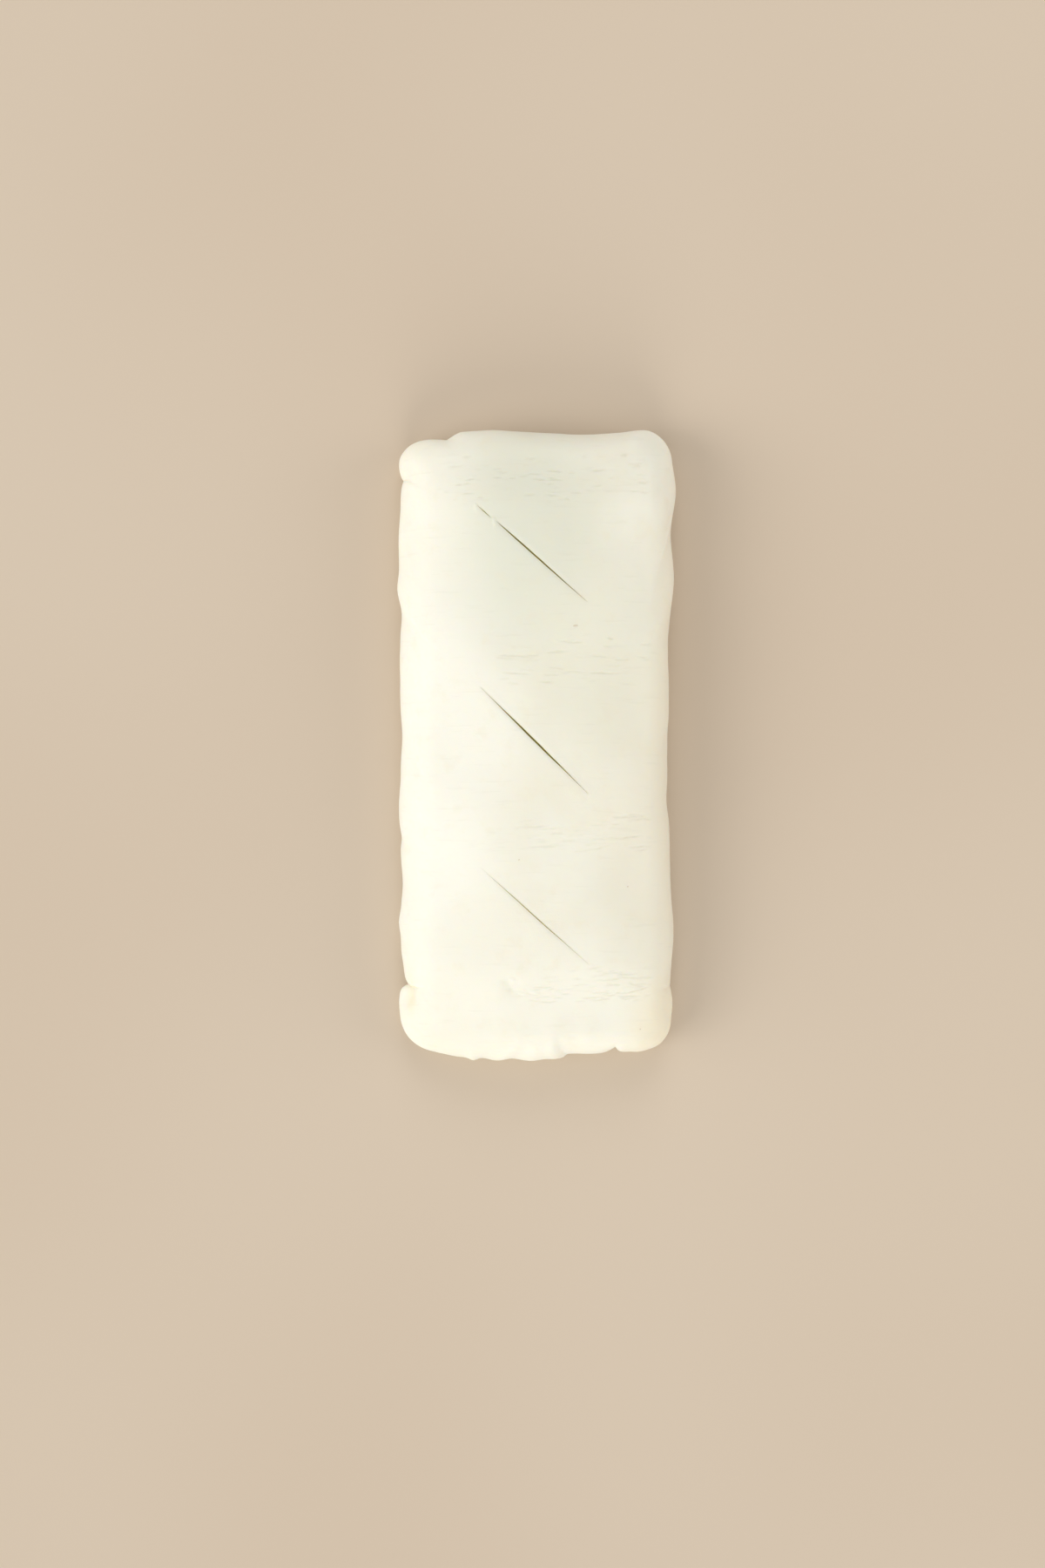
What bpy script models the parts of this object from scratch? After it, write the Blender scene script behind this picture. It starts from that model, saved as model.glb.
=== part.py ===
# An unbaked vegetable strudel: one long, flat parcel of raw pastry. Its ends are tucked under, the
# tucked layers show as lobes at its corners, and slanting slits are cut in its top.
# Metres, +Z up. +Y runs along the parcel, the front end is at -Y, and the parcel rests on z = 0.

import math
from collections import namedtuple

import bmesh
import bpy
from mathutils import Vector

# The plain outline of the parcel at its widest level, before bulges and notches.
LEFT_X = -0.0511
RIGHT_X = 0.0500
FRONT_Y = -0.1171
BACK_Y = 0.1171
FRONT_LEFT_RADIUS = 0.0160
FRONT_RIGHT_RADIUS = 0.0140
BACK_RIGHT_RADIUS = 0.0098
BACK_LEFT_RADIUS = 0.0122

# The side of the parcel, from the surface it rests on up to the edge of its top.
HEIGHT = 0.0300
WIDEST_HEIGHT = 0.0095
BASE_TUCK = 0.0048
LEFT_SHOULDER = 0.0140
RIGHT_SHOULDER = 0.0098
FRONT_SHOULDER = 0.0118
BACK_SHOULDER = 0.0108
INNER_CORNER_RADIUS = 0.0075
BASE_ROUNDNESS = 2.1
SHOULDER_ROUNDNESS = 2.20
WIDEST_LEVEL = 0.34

# The widest height follows the height of the top by this share, and sways a little along the sides.
FULL_TOP = 0.0275
WIDEST_SHARE = 0.60
SWAY = 0.12
SWAY_LENGTH = 0.074
# Folds in the side lean to and fro by this much over this length, and fade towards the ground and the top.
FOLD_LEAN = 0.0110
FOLD_LEAN_LENGTH = 0.043
FOLD_AT_GROUND = 0.45
FOLD_AT_TOP = 0.30
# Notches fade out above this level of the side, over this much more of it.
NOTCH_TOP_LEVEL = 0.40
NOTCH_FADE = 0.40

# The top: crowned across and lengthwise, and lower and flatter over the folded ends, which hold no filling.
CROWN_CENTRE_X = 0.0070
CROWN_DROP = 0.0085
CROWN_POWER = 2.2
CROWN_HALF_WIDTH = 0.050
CROWN_AT_ENDS = 0.66
LENGTH_CENTRE_Y = 0.022
LENGTH_DROP = 0.0026
HALF_LENGTH = 0.100
FRONT_FOLD_Y = -0.080
BACK_FOLD_Y = 0.086
END_DROP = 0.0042
END_SLOPE = 0.031

# A bump pushes the outline out, or in where it is negative, at a place along its side.
Bump = namedtuple("Bump", "at out reach")
# A notch is a sharp nick in the outline, with its own reach to either side of its deepest point.
Notch = namedtuple("Notch", "at depth reach_below reach_above")
# A step moves the outline out by its size from one place onwards.
Step = namedtuple("Step", "at out reach")

LEFT_BUMPS = (
    Bump(at=0.1050, out=0.0007, reach=0.0050),
    Bump(at=0.0740, out=0.0010, reach=0.0140),
    Bump(at=0.0585, out=0.0010, reach=0.0050),
    Bump(at=0.0490, out=-0.0005, reach=0.0050),
    Bump(at=0.0280, out=0.0003, reach=0.0100),
    Bump(at=0.0010, out=-0.0006, reach=0.0070),
    Bump(at=-0.0230, out=0.0008, reach=0.0075),
    Bump(at=-0.0350, out=-0.0005, reach=0.0030),
    Bump(at=-0.0520, out=-0.0008, reach=0.0080),
    Bump(at=-0.0840, out=-0.0009, reach=0.0060),
    Bump(at=-0.0975, out=0.0006, reach=0.0060),
)
LEFT_NOTCHES = (
    Notch(at=0.0994, depth=0.0014, reach_below=0.0026, reach_above=0.0020),
    Notch(at=-0.0902, depth=0.0030, reach_below=0.0010, reach_above=0.0030),
)
RIGHT_BUMPS = (
    Bump(at=0.0960, out=0.0024, reach=0.0115),
    Bump(at=0.0630, out=0.0014, reach=0.0095),
    Bump(at=0.0380, out=-0.0006, reach=0.0110),
    Bump(at=0.0140, out=0.0005, reach=0.0080),
    Bump(at=0.0010, out=-0.0012, reach=0.0300),
    Bump(at=-0.0210, out=-0.0008, reach=0.0060),
    Bump(at=-0.0750, out=0.0012, reach=0.0110),
    Bump(at=-0.0975, out=0.0012, reach=0.0060),
)
RIGHT_NOTCHES = (Notch(at=-0.0906, depth=0.0004, reach_below=0.0020, reach_above=0.0020),)
BACK_BUMPS = (
    Bump(at=-0.0180, out=0.0010, reach=0.0100),
    Bump(at=0.0165, out=-0.0009, reach=0.0110),
    Bump(at=0.0390, out=0.0013, reach=0.0075),
)
BACK_STEPS = (Step(at=-0.0315, out=-0.0022, reach=-0.0050),)
BACK_NOTCHES = (Notch(at=-0.0345, depth=0.0008, reach_below=0.0018, reach_above=0.0012),)
FRONT_BUMPS = (
    Bump(at=-0.0235, out=0.0009, reach=0.0018),
    Bump(at=-0.0155, out=0.0012, reach=0.0038),
    Bump(at=-0.0040, out=0.0012, reach=0.0060),
    Bump(at=0.0070, out=0.0007, reach=0.0035),
    Bump(at=0.0430, out=-0.0010, reach=0.0060),
)
FRONT_STEPS = (
    Step(at=-0.0330, out=-0.0017, reach=-0.0140),
    Step(at=0.0110, out=-0.0013, reach=0.0021),
)
FRONT_NOTCHES = (Notch(at=0.0296, depth=0.0029, reach_below=0.0024, reach_above=0.0011),)

# Where a tucked end shows as a lower layer on a long side: it starts at a notch and runs to the corner.
# Its step is how far the sheet above it stands back.
Tuck = namedtuple("Tuck", "start end step drop")
LEFT_TUCKS = (
    Tuck(start=-0.0902, end=-0.1090, step=0.0044, drop=0.0016),
    Tuck(start=0.0994, end=0.1120, step=0.0008, drop=0.0002),
)
RIGHT_TUCKS = (
    Tuck(start=-0.0906, end=-0.1090, step=0.0007, drop=0.0002),
    Tuck(start=0.0880, end=0.1100, step=0.0007, drop=0.0002),
)
# The lower layer rounds inwards from LOBE_LEVEL up to the crease at TUCK_LEVEL.
LOBE_LEVEL = 0.38
TUCK_LEVEL = 0.62
TUCK_SOFTNESS = 0.050
# A tuck comes in over a share of its length, keeps its size up to the next share, and then dies away.
TUCK_ONSET_SHARE = 0.11
TUCK_FULL_SHARE = 0.35

# Low swells that the filling makes in the top: height, wave lengths along X and Y, and phase.
Swell = namedtuple("Swell", "height along_x along_y phase")
SWELLS = (
    Swell(height=0.00035, along_x=0.075, along_y=0.061, phase=0.6),
    Swell(height=0.00030, along_x=0.052, along_y=-0.093, phase=2.1),
    Swell(height=0.00022, along_x=-0.041, along_y=0.047, phase=4.0),
)
# Soft folds that run down over the front end.
END_FOLDS = (-0.0132, -0.0068, 0.0060, 0.0188)
END_FOLD_HEIGHT = 0.00028
END_FOLD_REACH = 0.0030
END_FOLD_START_Y = -0.094
END_FOLD_FULL_Y = -0.110
# A finger-sized dimple at the front fold.
DIMPLE = Vector((-0.0090, -0.0897))
DIMPLE_DEPTH = 0.0008
DIMPLE_REACH = 0.0038

# Knife slits, each from one end to the other as seen from above, with its width and depth.
Slit = namedtuple("Slit", "start end width depth")
SLITS = {
    "slit_back_nick": Slit(Vector((-0.0218, 0.0876)), Vector((-0.0161, 0.0822)), 0.0005, 0.0010),
    "slit_back": Slit(Vector((-0.0150, 0.0815)), Vector((0.0185, 0.0518)), 0.0008, 0.0026),
    "slit_middle": Slit(Vector((-0.0206, 0.0207)), Vector((0.0188, -0.0183)), 0.0009, 0.0028),
    "slit_front": Slit(Vector((-0.0206, -0.0455)), Vector((0.0191, -0.0810)), 0.0006, 0.0018),
}
SLIT_STEPS = 10
SLIT_TIP_SHARE = 0.12
SLIT_KEEL_SHARE = 0.3
SLIT_CLEARANCE = 0.0020

# Grooves under the parcel: the edges of the two tucked ends and the long seam between them.
GROOVE_HALF_WIDTH = 0.0009
GROOVE_DEPTH = 0.0010
Groove = namedtuple("Groove", "start end bow")
FRONT_EDGE = Groove(Vector((-0.0560, -0.0899)), Vector((0.0560, -0.0909)), -0.0025)
BACK_EDGE = Groove(Vector((-0.0560, 0.1005)), Vector((0.0560, 0.0870)), 0.0020)
SEAM_SHARE_ALONG_EDGES = 0.62
SEAM_BOW = 0.0030
GROOVE_STEPS = 16

# How finely the surface is divided.
ARC_STEPS = 4
END_STATIONS = 23
SIDE_STATIONS = 43
CLUSTER_GAIN = 3.5
CLUSTER_REACH = 0.0045
LEVELS = (0.0, 0.12, 0.23, WIDEST_LEVEL, 0.42, 0.50, 0.57, 0.62, 0.67, 0.73, 0.81, 0.90, 1.0)

PASTRY_COLOR = (0.88, 0.84, 0.72, 1.0)
PASTRY_ROUGHNESS = 0.55


def smooth_step(value):
    value = min(max(value, 0.0), 1.0)
    return value * value * (3 - 2 * value)


def bell(distance, reach):
    return math.exp(-((distance / reach) ** 2))


def sum_of_bumps(place, bumps):
    return sum(bump.out * bell(place - bump.at, bump.reach) for bump in bumps)


def sum_of_steps(place, steps):
    return sum(step.out * smooth_step((place - step.at) / step.reach + 0.5) for step in steps)


def sum_of_notches(place, notches):
    total = 0.0
    for notch in notches:
        reach = notch.reach_above if place > notch.at else notch.reach_below
        total -= notch.depth * math.exp(-abs(place - notch.at) / reach)
    return total


def leaning(place, level):
    """Where a fold that passes this place of the side at this level stands at the widest level."""
    wave = math.sin(2 * math.pi * place / FOLD_LEAN_LENGTH)
    return place + FOLD_LEAN * (level - WIDEST_LEVEL) * wave


def broad_relief(point, normal, level):
    """How far the bulges and steps push the outline out at a point of the plain outline."""
    x, y = leaning(point.x, level), leaning(point.y, level)
    side_bumps = RIGHT_BUMPS if normal.x > 0 else LEFT_BUMPS
    end_bumps = BACK_BUMPS if normal.y > 0 else FRONT_BUMPS
    end_steps = BACK_STEPS if normal.y > 0 else FRONT_STEPS
    along_end = sum_of_bumps(x, end_bumps) + sum_of_steps(x, end_steps)
    return normal.x**2 * sum_of_bumps(y, side_bumps) + normal.y**2 * along_end


def sharp_relief(point, normal):
    """The same for the notches, which stay in the side and never reach the top."""
    side_notches = RIGHT_NOTCHES if normal.x > 0 else LEFT_NOTCHES
    end_notches = BACK_NOTCHES if normal.y > 0 else FRONT_NOTCHES
    on_side = sum_of_notches(point.y, side_notches)
    on_end = sum_of_notches(point.x, end_notches)
    return normal.x**2 * on_side + normal.y**2 * on_end


def tuck_at(point, normal):
    """The step and the drop of the tucked layer at a point of the outline, zero where there is none."""
    step = 0.0
    drop = 0.0
    for tuck in RIGHT_TUCKS if normal.x > 0 else LEFT_TUCKS:
        along = (point.y - tuck.start) / (tuck.end - tuck.start)
        share = smooth_step(along / TUCK_ONSET_SHARE + 0.5)
        share *= 1 - smooth_step((along - TUCK_FULL_SHARE) / (1 - TUCK_FULL_SHARE))
        share *= normal.x**2
        step += tuck.step * share
        drop += tuck.drop * share
    return step, drop


def top_height(x, y):
    """The height of the parcel's top over a point of the ground."""
    over_end = smooth_step((FRONT_FOLD_Y - y) / END_SLOPE) + smooth_step((y - BACK_FOLD_Y) / END_SLOPE)
    crown_drop = CROWN_DROP * (1 - (1 - CROWN_AT_ENDS) * over_end)
    height = HEIGHT - crown_drop * (abs(x - CROWN_CENTRE_X) / CROWN_HALF_WIDTH) ** CROWN_POWER
    height -= END_DROP * over_end + LENGTH_DROP * ((y - LENGTH_CENTRE_Y) / HALF_LENGTH) ** 2
    for swell in SWELLS:
        turns = x / swell.along_x + y / swell.along_y
        height += swell.height * math.sin(2 * math.pi * turns + swell.phase)
    near_end = smooth_step((END_FOLD_START_Y - y) / (END_FOLD_START_Y - END_FOLD_FULL_Y))
    for fold_x in END_FOLDS:
        height += END_FOLD_HEIGHT * near_end * bell(x - fold_x, END_FOLD_REACH)
    from_dimple = (Vector((x, y)) - DIMPLE).length
    return height - DIMPLE_DEPTH * bell(from_dimple, DIMPLE_REACH)


def stations(count, start, end, notches):
    """Shares 0 to 1 of the way along a straight stretch, closer together round its notches."""
    fine_steps = 600
    weights = []
    for index in range(fine_steps):
        place = start + (end - start) * (index + 0.5) / fine_steps
        gain = sum(bell(place - notch.at, CLUSTER_REACH) for notch in notches)
        weights.append(1 + CLUSTER_GAIN * gain)
    total = sum(weights)
    shares = [0.0]
    passed = 0.0
    for index, weight in enumerate(weights):
        passed += weight
        if passed >= total * len(shares) / (count - 1) and len(shares) < count - 1:
            shares.append((index + 1) / fine_steps)
    return shares + [1.0]


def corner_circles(insets, radii):
    """Centre, radius and middle angle of each corner, anticlockwise from the front left one."""
    left, right = LEFT_X + insets[0], RIGHT_X - insets[1]
    front, back = FRONT_Y + insets[2], BACK_Y - insets[3]
    front_left, front_right, back_right, back_left = radii
    return (
        (Vector((left + front_left, front + front_left)), front_left, math.radians(225)),
        (Vector((right - front_right, front + front_right)), front_right, math.radians(315)),
        (Vector((right - back_right, back - back_right)), back_right, math.radians(45)),
        (Vector((left + back_left, back - back_left)), back_left, math.radians(135)),
    )


def arc_point(circle, turn):
    centre, radius, middle = circle
    normal = Vector((math.cos(middle + turn), math.sin(middle + turn)))
    return centre + normal * radius, normal


def outline(insets, radii):
    """Four sides of points and normals, anticlockwise, each starting at the middle of a corner."""
    circles = corner_circles(insets, radii)
    spans = (
        (END_STATIONS, "x", FRONT_NOTCHES),
        (SIDE_STATIONS, "y", RIGHT_NOTCHES),
        (END_STATIONS, "x", BACK_NOTCHES),
        (SIDE_STATIONS, "y", LEFT_NOTCHES),
    )
    eighth = math.pi / 4
    sides = []
    for index, (count, axis, notches) in enumerate(spans):
        first = circles[index]
        last = circles[(index + 1) % 4]
        start, normal = arc_point(first, eighth)
        end, _ = arc_point(last, -eighth)
        side = [arc_point(first, eighth * step / ARC_STEPS) for step in range(ARC_STEPS)]
        for share in stations(count, getattr(start, axis), getattr(end, axis), notches):
            side.append((start.lerp(end, share), normal))
        for step in range(1, ARC_STEPS):
            side.append(arc_point(last, eighth * (step / ARC_STEPS - 1)))
        sides.append(side)
    return sides


def wall_point(outer, inner, normal, level):
    """A point of the side: level 0 is where it leaves the ground, level 1 the edge of the top."""
    broad = broad_relief(outer, normal, level)
    sharp = sharp_relief(outer, normal)
    swaying = 1 + SWAY * math.sin(2 * math.pi * (outer.x + outer.y) / SWAY_LENGTH)
    follows_top = top_height(inner.x, inner.y) / FULL_TOP - 1
    widest_height = WIDEST_HEIGHT * (1 + WIDEST_SHARE * follows_top) * swaying
    if level <= WIDEST_LEVEL:
        broad *= 1 - (1 - FOLD_AT_GROUND) * (1 - level / WIDEST_LEVEL) ** 2
        angle = level / WIDEST_LEVEL * math.pi / 2
        inset = BASE_TUCK * (1 - math.sin(angle) ** (2 / BASE_ROUNDNESS))
        height = widest_height * (1 - max(math.cos(angle), 0.0) ** (2 / BASE_ROUNDNESS))
        place = outer + normal * (broad + sharp - inset)
        return Vector((place.x, place.y, height))
    angle = (level - WIDEST_LEVEL) / (1 - WIDEST_LEVEL) * math.pi / 2
    inward = 1 - max(math.cos(angle), 0.0) ** (2 / SHOULDER_ROUNDNESS)
    upward = math.sin(angle) ** (2 / SHOULDER_ROUNDNESS)
    step, drop = tuck_at(outer, normal)
    above_tuck = smooth_step((level - LOBE_LEVEL) / (TUCK_LEVEL - LOBE_LEVEL))
    back_to_top = 1 - smooth_step((level - TUCK_LEVEL) / (1 - TUCK_LEVEL))
    relief = broad * (1 - (1 - FOLD_AT_TOP) * inward)
    relief += sharp * (1 - smooth_step((level - NOTCH_TOP_LEVEL) / NOTCH_FADE))
    relief -= step * above_tuck * back_to_top
    place = outer.lerp(inner, inward) + normal * relief
    rise = (top_height(place.x, place.y) - widest_height) * upward
    crease = drop * bell(level - TUCK_LEVEL, TUCK_SOFTNESS)
    return Vector((place.x, place.y, widest_height + rise - crease))


def top_grid(sides):
    """Points of the top inside its edge, blended between the four sides of the edge."""
    front, right, back, left = ([point.xy for point in side] for side in sides)
    columns = len(front)
    rows = len(right)
    front.append(right[0])
    right.append(back[0])
    back = (back + [left[0]])[::-1]
    left = (left + [front[0]])[::-1]
    grid = []
    for row in range(1, rows):
        line = []
        up_left = (left[row].y - left[0].y) / (left[-1].y - left[0].y)
        up_right = (right[row].y - right[0].y) / (right[-1].y - right[0].y)
        for column in range(1, columns):
            on_front = (front[column].x - front[0].x) / (front[-1].x - front[0].x)
            on_back = (back[column].x - back[0].x) / (back[-1].x - back[0].x)
            up = up_left + (up_right - up_left) * column / columns
            across = on_front + (on_back - on_front) * row / rows
            place = front[column].lerp(back[column], up) + left[row].lerp(right[row], across)
            place -= front[0].lerp(front[-1], across).lerp(back[0].lerp(back[-1], across), up)
            line.append(Vector((place.x, place.y, top_height(place.x, place.y))))
        grid.append(line)
    return grid


def parcel_mesh():
    """The parcel without its cuts: rings up its side, a grid over its top and one flat face below."""
    radii = (FRONT_LEFT_RADIUS, FRONT_RIGHT_RADIUS, BACK_RIGHT_RADIUS, BACK_LEFT_RADIUS)
    shoulders = (LEFT_SHOULDER, RIGHT_SHOULDER, FRONT_SHOULDER, BACK_SHOULDER)
    outer = outline((0.0,) * 4, radii)
    inner = outline(shoulders, (INNER_CORNER_RADIUS,) * 4)
    shape = bmesh.new()
    rings = []
    for level in LEVELS:
        sides = []
        for outer_side, inner_side in zip(outer, inner):
            pairs = zip(outer_side, inner_side)
            sides.append([wall_point(o, i, normal, level) for (o, normal), (i, _) in pairs])
        rings.append([shape.verts.new(point) for side in sides for point in side])
    count = len(rings[0])
    for low, high in zip(rings, rings[1:]):
        for index in range(count):
            after = (index + 1) % count
            shape.faces.new((low[index], low[after], high[after], high[index]))
    shape.faces.new(rings[0][::-1])

    grid = [[shape.verts.new(point) for point in line] for line in top_grid(sides)]
    columns = len(sides[0])
    rows = len(sides[1])
    edge = rings[-1]
    front_row = edge[: columns + 1]
    back_row = (edge[columns + rows : 2 * columns + rows + 1])[::-1]
    lattice = [front_row]
    for row, line in enumerate(grid, start=1):
        lattice.append([edge[count - row], *line, edge[columns + row]])
    lattice.append(back_row)
    for low, high in zip(lattice, lattice[1:]):
        for column in range(columns):
            corners = (low[column], low[column + 1], high[column + 1], high[column])
            shape.faces.new(corners)
    mesh = bpy.data.meshes.new("pastry_parcel")
    shape.to_mesh(mesh)
    shape.free()
    mesh.shade_smooth()
    return mesh


def swept_cutter(name, sections):
    """A closed bar through cross sections that all have the same number of corners."""
    shape = bmesh.new()
    loops = [[shape.verts.new(corner) for corner in section] for section in sections]
    for first, second in zip(loops, loops[1:]):
        for index in range(len(first)):
            after = (index + 1) % len(first)
            shape.faces.new((first[index], first[after], second[after], second[index]))
    shape.faces.new(loops[0][::-1])
    shape.faces.new(loops[-1])
    bmesh.ops.recalc_face_normals(shape, faces=shape.faces)
    mesh = bpy.data.meshes.new(name)
    shape.to_mesh(mesh)
    shape.free()
    cutter = bpy.data.objects.new(name, mesh)
    cutter.hide_render = True
    cutter.display_type = "WIRE"
    bpy.context.scene.collection.objects.link(cutter)
    return cutter


def slit_cutter(name, slit):
    """A blade that is widest and deepest halfway along, and narrow at its keel."""
    along = (slit.end - slit.start).normalized()
    across = Vector((-along.y, along.x))
    sections = []
    for step in range(SLIT_STEPS + 1):
        share = step / SLIT_STEPS
        fullness = SLIT_TIP_SHARE + (1 - SLIT_TIP_SHARE) * math.sin(math.pi * share)
        middle = slit.start.lerp(slit.end, share)
        surface = top_height(middle.x, middle.y)
        half = slit.width / 2 * fullness
        keel = half * SLIT_KEEL_SHARE
        bottom = surface - slit.depth * fullness
        section = []
        for offset, height in (
            (-keel, bottom),
            (keel, bottom),
            (half, surface),
            (half, surface + SLIT_CLEARANCE),
            (-half, surface + SLIT_CLEARANCE),
            (-half, surface),
        ):
            place = middle + across * offset
            section.append(Vector((place.x, place.y, height)))
        sections.append(section)
    return swept_cutter(name, sections)


def groove_point(groove, share):
    along = (groove.end - groove.start).normalized()
    across = Vector((-along.y, along.x))
    bowed = groove.bow * math.sin(2 * math.pi * share)
    return groove.start.lerp(groove.end, share) + across * bowed


def groove_cutter(name, groove):
    """A bar of triangular section that cuts a shallow V in the underside, along a slow bow."""
    along = (groove.end - groove.start).normalized()
    across = Vector((-along.y, along.x))
    sections = []
    for step in range(GROOVE_STEPS + 1):
        middle = groove_point(groove, step / GROOVE_STEPS)
        section = []
        for offset, height in (
            (-2 * GROOVE_HALF_WIDTH, -GROOVE_DEPTH),
            (0.0, GROOVE_DEPTH),
            (2 * GROOVE_HALF_WIDTH, -GROOVE_DEPTH),
        ):
            place = middle + across * offset
            section.append(Vector((place.x, place.y, height)))
        sections.append(section)
    return swept_cutter(name, sections)


def cut(body, cutter):
    modifier = body.modifiers.new(cutter.name, "BOOLEAN")
    modifier.operation = "DIFFERENCE"
    modifier.object = cutter


def pastry_material():
    material = bpy.data.materials.new("raw_pastry")
    material.use_nodes = True
    principled = material.node_tree.nodes["Principled BSDF"]
    principled.inputs["Base Color"].default_value = PASTRY_COLOR
    principled.inputs["Roughness"].default_value = PASTRY_ROUGHNESS
    principled.inputs["Metallic"].default_value = 0.0
    return material


def clear_scene():
    for obj in list(bpy.data.objects):
        bpy.data.objects.remove(obj, do_unlink=True)


def main():
    clear_scene()
    parcel = bpy.data.objects.new("pastry_parcel", parcel_mesh())
    parcel.data.materials.append(pastry_material())
    bpy.context.scene.collection.objects.link(parcel)
    for name, slit in SLITS.items():
        cut(parcel, slit_cutter(name, slit))
    seam_front = groove_point(FRONT_EDGE, SEAM_SHARE_ALONG_EDGES)
    seam_back = groove_point(BACK_EDGE, SEAM_SHARE_ALONG_EDGES)
    cut(parcel, groove_cutter("groove_front_edge", FRONT_EDGE))
    cut(parcel, groove_cutter("groove_back_edge", BACK_EDGE))
    cut(parcel, groove_cutter("groove_seam", Groove(seam_front, seam_back, SEAM_BOW)))


main()
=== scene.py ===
import math
import random

import bmesh
import bpy
import numpy as np
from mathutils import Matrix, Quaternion, Vector, noise


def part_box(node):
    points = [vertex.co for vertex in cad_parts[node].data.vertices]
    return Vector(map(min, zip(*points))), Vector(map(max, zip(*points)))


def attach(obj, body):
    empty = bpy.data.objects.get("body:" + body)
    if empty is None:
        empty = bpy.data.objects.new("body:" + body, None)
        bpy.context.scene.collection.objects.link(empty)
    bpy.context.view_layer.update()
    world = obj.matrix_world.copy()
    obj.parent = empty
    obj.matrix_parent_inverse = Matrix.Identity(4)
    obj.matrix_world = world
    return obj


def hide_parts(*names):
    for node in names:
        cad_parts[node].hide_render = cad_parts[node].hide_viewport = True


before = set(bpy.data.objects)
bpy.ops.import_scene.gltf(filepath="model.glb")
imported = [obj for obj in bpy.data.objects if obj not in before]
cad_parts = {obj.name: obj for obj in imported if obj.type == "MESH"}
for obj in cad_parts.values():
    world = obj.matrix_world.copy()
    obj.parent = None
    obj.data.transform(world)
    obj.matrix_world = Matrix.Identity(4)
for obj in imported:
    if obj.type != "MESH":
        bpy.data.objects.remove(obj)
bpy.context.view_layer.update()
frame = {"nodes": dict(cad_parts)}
print("frame loaded, nodes:", ", ".join(frame["nodes"]))

nodeLow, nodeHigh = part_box("pastry_parcel")

# The parcel in metres: +Y runs along it, the front end is at -Y, and it rests on z = 0.
# Bumps are (place, how far out, reach), notches are (place, depth, reach below, reach above)
# and steps are (place, how far out, reach).
parcel = {
    "left": nodeLow.x + 0.001,
    "right": nodeHigh.x - 0.002,
    "front": nodeLow.y + 0.0006,
    "back": nodeHigh.y - 0.0011,
    "cornerRadii": (0.0152, 0.0134, 0.01, 0.0108),  # front left, front right, back right, back left
    "height": nodeHigh.z - 0.0004,
    "widestHeight": 0.0095,
    "widestShare": 0.6,  # the share of that height that follows the height of the top
    "widestLevel": 0.34,
    "baseTuck": 0.0048,
    "baseRoundness": 2.1,
    "widestSway": (0.12, 0.074),  # how much that height varies along the sides, and over what length
    "shoulders": (0.014, 0.0098, 0.0118, 0.0108),  # left, right, front, back
    "shoulderRoundness": 2.2,
    "innerCorner": 0.0075,
    "foldLean": (0.011, 0.043),  # folds in the side lean to and fro by this much over this length
    "foldAtGround": 0.45,  # the shares of a fold that reach the ground and the top
    "foldAtTop": 0.3,
    "notchTopLevel": 0.4,  # notches fade out above this level of the side, over this much more of it
    "notchFade": 0.4,
    "leftBumps": (
        (0.105, 0.0007, 0.005), (0.074, 0.0006, 0.014), (0.0585, 0.001, 0.005),
        (0.049, -0.0005, 0.005), (0.028, 0.0003, 0.01), (0.004, -0.0008, 0.008),
        (-0.023, 0.0006, 0.0075), (-0.035, -0.0005, 0.003), (-0.052, -0.0008, 0.008),
        (-0.0665, 0.0008, 0.004), (-0.084, -0.0009, 0.006), (-0.0975, 0.0006, 0.006),
    ),
    "leftNotches": ((0.0994, 0.0014, 0.0026, 0.002), (-0.0902, 0.003, 0.001, 0.003)),
    "rightBumps": (
        (0.095, 0.0021, 0.0105), (0.063, 0.0014, 0.0095), (0.038, -0.0006, 0.011),
        (0.014, 0.0005, 0.008), (0.001, -0.0012, 0.03), (-0.021, -0.0008, 0.006),
        (-0.07, 0.0014, 0.012), (-0.0975, 0.0008, 0.006),
    ),
    "rightNotches": ((-0.0906, 0.0004, 0.002, 0.002),),
    "backBumps": ((-0.018, 0.0008, 0.01), (0.0165, -0.0007, 0.011), (0.04, 0.0009, 0.0075)),
    "backSteps": ((-0.0305, -0.0025, -0.0068),),
    "backNotches": ((-0.0342, 0.0006, 0.0022, 0.0014),),
    "frontBumps": (
        (-0.0235, 0.0012, 0.0018), (-0.0155, 0.0012, 0.0038), (-0.002, 0.0013, 0.006),
        (0.0075, 0.0005, 0.003), (0.0335, -0.0006, 0.0045), (0.043, -0.0008, 0.006),
    ),
    "frontSteps": ((-0.033, -0.0017, -0.014), (0.011, -0.0013, 0.0021)),
    "frontNotches": ((0.0296, 0.0032, 0.0024, 0.0011),),
}

# Tucked layers beside the long sides: (start, end, how far the sheet above stands back, crease drop).
tucks = {
    "left": ((-0.0902, -0.1012, 0.0026, 0.0006), (0.0994, 0.112, 0.0008, 0.0002)),
    "right": ((-0.0906, -0.109, 0.0007, 0.0002), (0.088, 0.11, 0.0007, 0.0002)),
    "lobeLevel": 0.38,  # the lower layer rounds inwards from here up to the crease
    "level": 0.62,
    "softness": 0.05,
    "onsetShare": 0.11,  # a tuck comes in over this share of its length and is full up to the next
    "fullShare": 0.35,
}

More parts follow.
